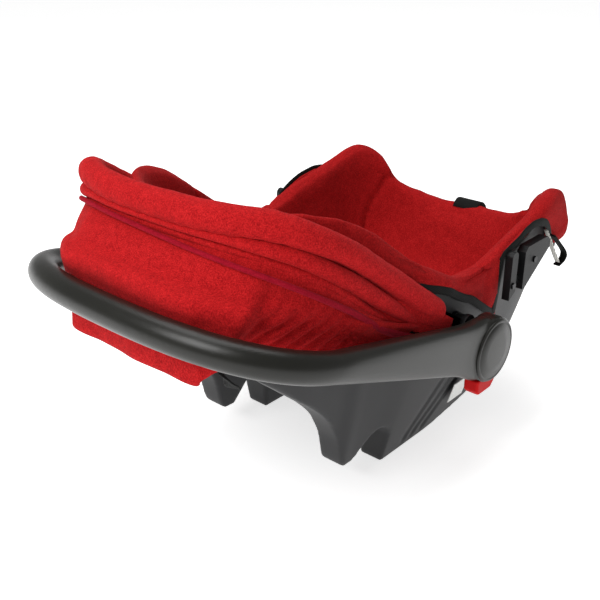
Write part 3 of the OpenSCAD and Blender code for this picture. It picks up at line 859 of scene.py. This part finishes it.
# Half of the canopy's back wall, from one pivot to the head end's middle. Each station has its
# hem, its height at the carry bar, its widest bulge and a point near its place on the piping.
WALL = [
    [(-62, 176, 196), (-62, 177, 201), (-62, 177, 203), (-60, 174, 206)],
    [(-100, 176, 197), (-100, 177, 209), (-100, 177, 216), (-98, 174, 224)],
    [(-150, 174, 206), (-152, 175, 225), (-154, 175, 238), (-150, 174, 248)],
    [(-210, 171, 224), (-214, 173, 248), (-218, 174, 266), (-208, 174, 282)],
    [(-262, 162, 240), (-264, 165, 266), (-266, 167, 286), (-258, 166, 304)],
    [(-304, 148, 247), (-304, 151, 276), (-304, 153, 298), (-296, 152, 318)],
    [(-348, 122, 248), (-346, 129, 276), (-340, 138, 303), (-326, 138, 330)],
    [(-364, 104, 234), (-361, 104, 279), (-366, 106, 310), (-338, 106, 345)],
    [(-369, 94, 225), (-368, 88, 281), (-374, 88, 312), (-340, 82, 352)],
    [(-369, 50, 226), (-372, 50, 282), (-377, 48, 316), (-344, 46, 356)],
    [(-369, 0, 226), (-373, 0, 283), (-378, 0, 317), (-345, 0, 357)],
]
# The station where the cloth turns the corner behind the head end
WALL_CREASE = 6
WALL_STEPS = 9
# The wall's upper edge lies just inside the piping: its share of the piping's length and width
WALL_TUCK = (0.982, 0.972)
# The gathers along the arms fade in and out at these places along X
GATHERS_HEAD, GATHERS_FOOT = -345, -170


def make_wall():
    """The canopy's back: one curved sheet round the head end, gathered along the arms."""
    half = np.array(WALL, float)
    line, angle, _ = roll_line("piping", 30, 400)
    roll = lifted(line[:, 0] * WALL_TUCK[0], line[:, 1] * WALL_TUCK[1], 0, angle)
    near = ((half[:, 3, None] - roll[None]) ** 2).sum(-1).argmin(1)
    top = roll[near]
    top[-1, 1] = 0
    half[:, 3] = half[:, 2] * 0.6 + top * 0.4
    half = np.concatenate([half, top[:, None]], 1)
    levels = half.shape[1]
    stations = smooth(half.reshape(len(half), -1), WALL_STEPS).reshape(-1, levels, 3)
    columns = np.concatenate([stations, stations[-2::-1] * [1, -1, 1]])
    grid = np.array([smooth(c, WALL_STEPS) for c in columns]).transpose(1, 0, 2)
    rows, cols = grid.shape[:2]
    up_share = np.linspace(0, 1, rows)[:, None]
    place = np.minimum(np.arange(cols), np.arange(cols)[::-1]) / WALL_STEPS
    way = grid_normals(grid)
    # The sheet isn't closed, so its two ends take their neighbours' normals
    way[:, [0, -1]] = way[:, [1, -2]]
    way *= np.sign((way * unit(grid - [PIVOT_X, 0, PIVOT_Z])).sum(-1).mean())
    x = grid[..., 0]
    side = np.clip((x - GATHERS_HEAD) / 30, 0, 1) * np.clip((GATHERS_FOOT - x) / 60, 0, 1)
    slant = x - grid[..., 2] * 1.6
    gathers = np.sin(slant * 2 * math.pi / 27 + 1.3 * waves(grid, 120, 21)) * bell(up_share - 0.2, 0.28)
    turn = WALL_CREASE - place
    crease = 3 * bell(turn + 0.05, 0.28) - 6 * bell(turn - 0.45, 0.3)
    crease = crease * bell(up_share - 0.4, 0.45)
    valley = -4 * bell(up_share - 0.72, 0.1) * np.clip(place - 4, 0, 1)
    fixed = np.minimum(1, (1 - up_share) * 5)
    folds = np.sin(2 * math.pi * (2.3 * up_share + 0.1 * place))
    folds = folds * bell(place - 2.3, 1.5) * (1 - up_share) ** 0.5
    rough = (1.6 * waves(grid, 110, 22) + 0.6 * waves(grid, 40, 23)) * fixed
    push = 3.4 * gathers * side + 3.0 * folds + crease + valley + rough
    grid = grid + way * push[..., None]
    piece = sheet_mesh("canopy_back_wall", grid, CANOPY_CLOTH, 1.6)
    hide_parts("canopy_back")
    level = np.clip((up_share - 0.3) / 0.7, 0, 1)
    weighted(piece, nearest_share(piece, grid, level**1.5))


def make_canopy():
    make_roll("rear", 44, "canopy_rear", CANOPY_CLOTH, "canopy_rear_fold")
    make_roll("piping", 44, "canopy_rear", CANOPY_LINING)
    make_roll("mid", 46, "canopy_mid", CANOPY_CLOTH, "canopy_mid_fold")
    make_roll("front", 52, "canopy_front", CANOPY_CLOTH, "canopy_front_roll")
    for name in HOOP_END_Y:
        make_hoop(name)
    make_fan("rear", "rear", "mid")
    make_fan("front", "mid", "front")
    make_wall()


# ---- Handle ----

# The folded handle points up from -X by this many degrees
FOLD = 17.75
HANDLE_START, HANDLE_CORNER, HANDLE_REACH, HANDLE_HALF_W, HANDLE_POWER = 20, 281, 410, 199, 2.65
BAR_R = 16.5
# Each flat arm turns into the round bar from ARM_END on, over ARM_TO_BAR
ARM_HALF_H, ARM_HALF_T, ARM_FLARE, ARM_FLARE_REACH = 30, 11.5, 9, 28
ARM_END, ARM_TO_BAR = 60, 240
HUB_IN, HUB_OUT, HUB_R = 187, 211, 41
# Room round a release button and above it for its stroke, in metres
POCKET_GAP, BUTTON_STROKE = 0.0006, 0.005


def handle_sections(count=260, sides=32):
    """Sections of the handle's tube. Near the hubs its arms flare to the hub's height."""
    line = bow(HANDLE_START, HANDLE_CORNER, HANDLE_REACH, HANDLE_HALF_W, HANDLE_POWER, count)
    way = line_normal(line)
    share = np.clip((line[:, :1] - ARM_END) / ARM_TO_BAR, 0, 1)
    flare = ARM_FLARE * bell(line[:, :1] - HANDLE_START, ARM_FLARE_REACH)
    half_t = ARM_HALF_T + (BAR_R - ARM_HALF_T) * share
    half_h = ARM_HALF_H + (BAR_R - ARM_HALF_H) * share + flare
    turn = circle(sides)
    # An arm is a rounded rectangle, the bar is round
    power = 2 / (4 - 2 * share)
    wide = half_t * squared(np.cos(turn), power)
    high = half_h * squared(np.sin(turn), power)
    return lifted(line[:, :1] + way[:, :1] * wide, line[:, 1:] + way[:, 1:] * wide, high, FOLD, 0, HUB_Z)


def lathe(name, profile, side, material, count=96):
    """A solid turned about the handle's axis, from (radius, y) points."""
    turn = circle(count)
    rings = [[(r * math.cos(a), side * y, HUB_Z + r * math.sin(a)) for a in turn] for r, y in profile]
    return tube(name, rings, material)


def button_pocket(button):
    """A box round a release button, with room above it for its stroke."""
    corners = np.array([button.matrix_world @ Vector(c) for c in button.bound_box])
    low, high = corners.min(0) - POCKET_GAP, corners.max(0) + POCKET_GAP
    high[2] += BUTTON_STROKE
    across = [(low[0], low[2]), (high[0], low[2]), (high[0], high[2]), (low[0], high[2])]
    sections = [[((x - HUB.x) * 1000, y * 1000, z * 1000) for x, z in across] for y in (low[1], high[1])]
    return tube("button_pocket", sections, HANDLE_PLASTIC)


def make_handle():
    """The handle in one piece with its hubs, and a disc on each hub."""
    hub = [(2, HUB_IN + 10), (30, HUB_IN + 10), (30, HUB_IN), (HUB_R - 1.5, HUB_IN), (HUB_R, HUB_IN + 1.5),
        (HUB_R, HUB_OUT - 2), (HUB_R - 1, HUB_OUT), (2, HUB_OUT)]
    parts = [tube("carry_handle", handle_sections(), HANDLE_PLASTIC)]
    parts += [lathe("hub", hub, side, HANDLE_PLASTIC) for side in SIDES.values()]
    handle = joined(parts)
    remesh(handle, voxel=0.0017, smoothing=6)
    for name in SIDES:
        cut(handle, button_pocket(frame["nodes"]["release_button_" + name]))
    applied(handle, "DECIMATE", ratio=0.6)
    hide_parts("handle_upper_shell", "handle_lower_shell")
    placed(handle, "handle", "handle_plastic", "handle_hub_left", "handle_hub_right")
    cap = [(0.5, HUB_OUT - 1), (38, HUB_OUT - 1), (39, HUB_OUT), (39, HUB_OUT + 1), (38, HUB_OUT + 2.2),
        (36.2, HUB_OUT + 2.9), (35.4, HUB_OUT + 2.2), (34.4, HUB_OUT + 2.2), (33.6, HUB_OUT + 3.1),
        (20, HUB_OUT + 3.9), (0.5, HUB_OUT + 4)]
    for name, side in SIDES.items():
        disc = lathe("hub_disc_" + name, cap, side, HANDLE_PLASTIC)
        placed(disc, "handle", "handle_plastic", "hub_cap_" + name)


# ---- Harness, tapes and pads ----

# Heights over the bowl of the cover's face, the tapes' middles and the pads' undersides
STRAP_LIFT = COVER_TOP + 1.5
WEB_LIFT = STRAP_LIFT + 1.6
WEB_W, WEB_T = 36, 2
PAD_LIFT = STRAP_LIFT + WEB_T + 1.5
PAD_HALF_W = 25
STRAP_Y = 46


def tape(name, path, width, thick, *nodes, material=BLACK_TAPE, steps=6, y=0.0):
    """A flat tape across Y along a curve of (x, z) points, or of (x, y, z) points."""
    p = np.array([q if len(q) == 3 else (q[0], y, q[1]) for q in path], float)
    p = smooth(p, steps)
    ahead = unit(np.gradient(p, axis=0))
    wide = unit(np.cross(ahead, np.broadcast_to(UP, p.shape)))
    wide = np.where(np.abs(ahead[:, 2:]) > 0.999, [[0, 1, 0]], wide)
    wide *= np.sign(wide @ np.array([0, 1.0, 0.001]))[:, None]
    face = np.cross(wide, ahead)
    w, t = width / 2, thick / 2
    section = [(-w, -t * 0.4), (-w, t * 0.4), (-w + t, t), (0, t), (w - t, t), (w, t * 0.4), (w, -t * 0.4),
        (w - t, -t), (0, -t), (-w + t, -t)]
    rings = [[q + wide[i] * a + face[i] * b for a, b in section] for i, q in enumerate(p)]
    placed(tube(name, rings, material), "seat", "webbing", *nodes)


def floor_path(x1, x2, lift, count=12):
    """Points along the bowl's floor, lifted off it."""
    return [(x, float(floor_z(x)) + lift) for x in np.linspace(x1, x2, count)]


def pad(name, x1, x2, thick, y, node):
    """A quilted strip pad that lies over a strap along the bowl's floor."""
    rings = []
    count, sides = 40, 24
    turn = circle(sides)
    for t in np.linspace(0, 1, count):
        x = x1 + (x2 - x1) * t
        close = max(0.05, 1 - abs(2 * t - 1) ** 8) ** 0.5
        wide = squared(np.cos(turn), 0.5) * PAD_HALF_W * (0.8 + 0.2 * close)
        high = squared(np.sin(turn), 0.8) * thick / 2 * close
        middle = float(floor_z(x)) + PAD_LIFT + thick / 2
        rings.append(np.stack([np.full(sides, x), y + wide, middle + high], -1))
    piece = tube(name, rings, PAD_CLOTH)
    puffed(piece, cap=0.003, voxel=0.004)
    placed(piece, "seat", "pad_fabric", node)


def make_harness():
    for name, side in SIDES.items():
        path = [(-203, float(floor_z(-196)) + STRAP_LIFT - 5)] + floor_path(-197, -8, WEB_LIFT)
        y = side * STRAP_Y
        tape("shoulder_strap_" + name, path, WEB_W, WEB_T, "harness_strap_" + name, steps=4, y=y)
        pad("shoulder_sleeve_" + name, -178, -70, 8, y, "shoulder_pad_" + name)
    tape("crotch_web", floor_path(50, 104, WEB_LIFT, 6), WEB_W - 8, WEB_T, "crotch_strap")
    pad("crotch_sleeve", 54, 108, 7, 0, "crotch_pad")
    pull = [(254, 222), (257, 227), (265, 232), (276, 229), (284, 218), (285, 196)]
    tape("adjuster_web", pull, 40, 2.2, "adjuster_strap", y=-6)


def make_trims():
    """Small tapes at the cover's and the canopy's hems, on the right side."""
    tail = [(187, -180, 243), (202, -182, 229), (219, -184, 211), (217, -184, 201), (204, -183, 196)]
    tape("cover_strap_tail", tail, 10, 2, "cover_tie")
    elastic = [(166, -180, 256), (176, -182, 240), (188, -183, 222), (206, -183, 200)]
    tape("cover_elastic", elastic, 7, 1.2, material=WHITE_TAPE)
    tie = [(-349, -108, 240), (-344, -111, 232), (-338, -112, 222), (-332, -110, 214)]
    tape("canopy_hem_tie", tie, 16, 2, "canopy_tie")


# ---- CAD pieces that stay ----

FINISHES = {
    "shell_plastic": SHELL_PLASTIC,
    "handle_plastic": HANDLE_PLASTIC,
    "black_plastic": BLACK_PLASTIC,
    "red_plastic": RED_PLASTIC,
    "steel": STEEL,
    "foam": FOAM,
    "seat_fabric": SEAT_CLOTH,
    "canopy_fabric": CANOPY_CLOTH,
    "pad_fabric": PAD_CLOTH,
    "webbing": BLACK_TAPE,
    "label": PAPER,
}
# Nodes whose names start so get eased edges, of these radii in metres
EDGE_R, BUTTON_EDGE_R = 0.0012, 0.0035
ROUNDED = ("belt_guide", "release_button", "buckle", "adjuster_housing", "adjuster_lever", "canopy_knob")


def finish_cad_nodes():
    """Gives the CAD nodes that stay their materials and eased edges."""
    slots = {part["node"]: part["material_slot"] for part in frame["record"]["subparts"]}
    for name, obj in frame["nodes"].items():
        if obj.hide_render:
            continue
        obj.data.materials.clear()
        obj.data.materials.append(FINISHES[slots[name]])
        if name.startswith(ROUNDED):
            weld = obj.modifiers.new("weld", "WELD")
            weld.merge_threshold = 0.00002
            round_edges = obj.modifiers.new("round_edges", "BEVEL")
            round_edges.width = BUTTON_EDGE_R if name.startswith("release_button") else EDGE_R
            round_edges.segments = 3
            round_edges.limit_method = "ANGLE"
            round_edges.angle_limit = math.radians(35)
            round_edges.harden_normals = True


# ---- Stage, camera and lights ----

# The photograph's viewpoint, and the way it looks, as azimuth from +X and pitch down
CAMERA_AT = (-0.7974, -0.6607, 0.6599)
CAMERA_TURN, CAMERA_PITCH = 0.7224, 0.434
CAMERA_LENS = 53.85


def make_camera():
    data = bpy.data.cameras.new("camera")
    data.lens = CAMERA_LENS
    camera = linked("camera", data)
    flat = math.cos(CAMERA_PITCH)
    look = Vector((math.cos(CAMERA_TURN) * flat, math.sin(CAMERA_TURN) * flat, -math.sin(CAMERA_PITCH)))
    camera.location = CAMERA_AT
    camera.rotation_euler = look.to_track_quat("-Z", "Y").to_euler()
    bpy.context.scene.camera = camera


def softbox(name, place, target, size, power):
    data = bpy.data.lights.new(name, "AREA")
    data.shape = "RECTANGLE"
    data.size, data.size_y = size
    data.energy = power
    light = linked(name, data)
    light.location = place
    light.rotation_euler = (Vector(target) - Vector(place)).to_track_quat("-Z", "Y").to_euler()


# The floor is a lit white table, so shadows on it stay pale
FLOOR_GLOW, WORLD_GLOW = 0.68, 0.3
FLOOR_HALF = 14.0


def make_stage():
    n = Nodes("pale_floor")
    tone = n.ramp(n.noise(3, 2), [(0.3, (0.93, 0.93, 0.93)), (0.7, (0.95, 0.95, 0.95))])
    corners = [(x * FLOOR_HALF, y * FLOOR_HALF, 0) for x, y in ((-1, -1), (1, -1), (1, 1), (-1, 1))]
    data = bpy.data.meshes.new("floor")
    data.from_pydata(corners, [], [(0, 1, 2, 3)])
    glow = dict(Emission_Color=(1, 1, 1, 1), Emission_Strength=FLOOR_GLOW)
    data.materials.append(n.finish(tone, n.spread(n.noise(40, 2), 0.7, 0.8), Specular_IOR_Level=0.1, **glow))
    floor = linked("floor", data)
    floor.location.z = -0.0005
    world = bpy.data.worlds.new("studio")
    world.use_nodes = True
    background = world.node_tree.nodes["Background"].inputs
    background["Color"].default_value = (1, 1, 1, 1)
    background["Strength"].default_value = WORLD_GLOW
    bpy.context.scene.world = world
    softbox("key", (-1.7, 0.2, 1.8), (0, 0, 0.2), (1.1, 1.1), 31)
    softbox("overhead", (0.3, 0.5, 2.3), (0, 0, 0.2), (2.0, 1.6), 27)
    bpy.context.scene.view_settings.view_transform = "Standard"


make_camera()
make_shell()
make_liner()
make_cover()
make_canopy()
make_handle()
make_harness()
make_trims()
finish_cad_nodes()
make_stage()
